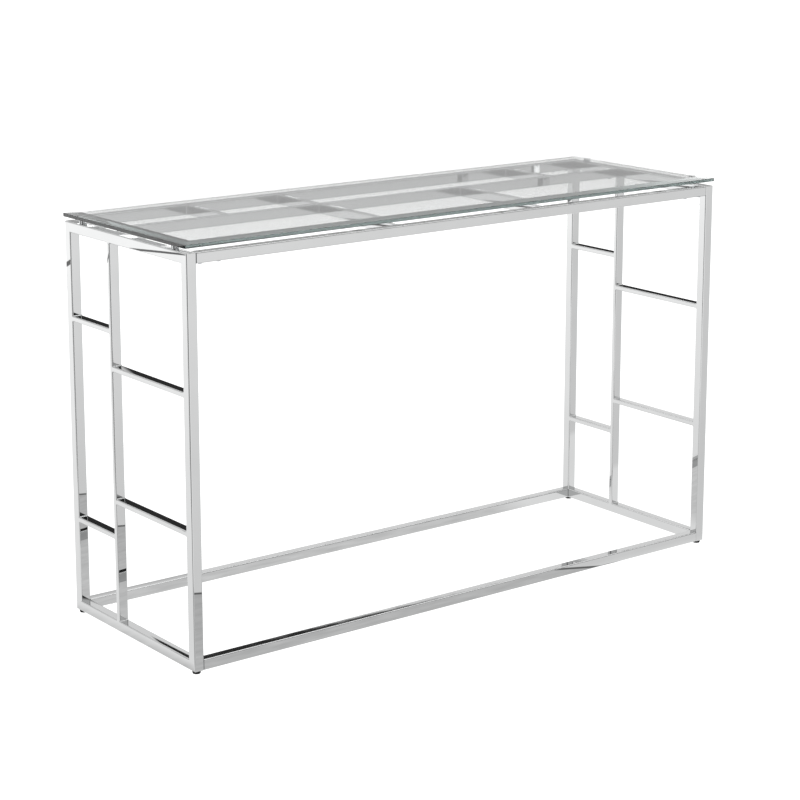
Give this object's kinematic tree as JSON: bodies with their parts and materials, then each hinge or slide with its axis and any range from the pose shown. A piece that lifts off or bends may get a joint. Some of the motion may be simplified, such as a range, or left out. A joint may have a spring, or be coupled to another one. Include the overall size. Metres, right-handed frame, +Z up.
{
  "type": "console table",
  "caption": "Narrow console table: chromed steel tube frame with staggered end rungs and an under-top lattice, and a bevelled clear glass top.",
  "frame": {"origin": "on the floor, under the middle of the table", "axes": "+X along the table to its right, +Y to its rear, where the narrow bay is, +Z up"},
  "size_m": [1.206, 0.404, 0.74],
  "materials": {
    "chrome_tube": "polished chrome plate on steel tube",
    "chrome_standoff": "polished chrome plate, turned",
    "clear_glass": "clear tempered glass with a polished bevel, slight green in the edges",
    "clear_pad": "clear soft pad",
    "black_plastic": "moulded, fine matt",
    "zinc_steel": "bright zinc plate"
  },
  "bodies": {
    "frame": {"left_front_leg": "chrome_tube", "left_rear_leg": "chrome_tube", "left_top_end_rail": "chrome_tube", "left_bottom_end_rail": "chrome_tube", "left_upright": "chrome_tube", "left_front_upper_rung": "chrome_tube", "left_front_lower_rung": "chrome_tube", "left_rear_upper_rung": "chrome_tube", "left_rear_lower_rung": "chrome_tube", "right_front_leg": "chrome_tube", "right_rear_leg": "chrome_tube", "right_top_end_rail": "chrome_tube", "right_bottom_end_rail": "chrome_tube", "right_upright": "chrome_tube", "right_front_upper_rung": "chrome_tube", "right_front_lower_rung": "chrome_tube", "right_rear_upper_rung": "chrome_tube", "right_rear_lower_rung": "chrome_tube", "front_top_rail": "chrome_tube", "rear_top_rail": "chrome_tube", "middle_top_rail": "chrome_tube", "rear_left_crossbar": "chrome_tube", "rear_middle_crossbar": "chrome_tube", "rear_right_crossbar": "chrome_tube", "front_middle_crossbar": "chrome_tube", "front_right_crossbar": "chrome_tube", "front_bottom_rail": "chrome_tube", "rear_bottom_rail": "chrome_tube", "rail_spigots": "zinc_steel", "middle_rail_tongues": "zinc_steel", "rail_screws": "zinc_steel", "tongue_screws": "zinc_steel", "foot_nuts": "zinc_steel", "left_front_standoff": "chrome_standoff", "left_rear_standoff": "chrome_standoff", "right_front_standoff": "chrome_standoff", "right_rear_standoff": "chrome_standoff", "left_front_pad": "clear_pad", "left_rear_pad": "clear_pad", "right_front_pad": "clear_pad", "right_rear_pad": "clear_pad", "standoff_screws": "zinc_steel"},
    "glass": {"glass_top": "clear_glass"},
    "left_front_glide": {"left_front_foot": "black_plastic", "left_front_stud": "zinc_steel"},
    "left_rear_glide": {"left_rear_foot": "black_plastic", "left_rear_stud": "zinc_steel"},
    "right_front_glide": {"right_front_foot": "black_plastic", "right_front_stud": "zinc_steel"},
    "right_rear_glide": {"right_rear_foot": "black_plastic", "right_rear_stud": "zinc_steel"}
  },
  "joints": [
    {"name": "glass_lift", "type": "slide", "parent": "frame", "child": "glass", "axis": [0, 0, 1], "range_m": [0, 0.12]},
    {"name": "left_front_glide_screw", "type": "slide", "parent": "frame", "child": "left_front_glide", "axis": [0, 0, -1], "range_m": [0, 0.008]},
    {"name": "left_rear_glide_screw", "type": "slide", "parent": "frame", "child": "left_rear_glide", "axis": [0, 0, -1], "range_m": [0, 0.008]},
    {"name": "right_front_glide_screw", "type": "slide", "parent": "frame", "child": "right_front_glide", "axis": [0, 0, -1], "range_m": [0, 0.008]},
    {"name": "right_rear_glide_screw", "type": "slide", "parent": "frame", "child": "right_rear_glide", "axis": [0, 0, -1], "range_m": [0, 0.008]}
  ]
}
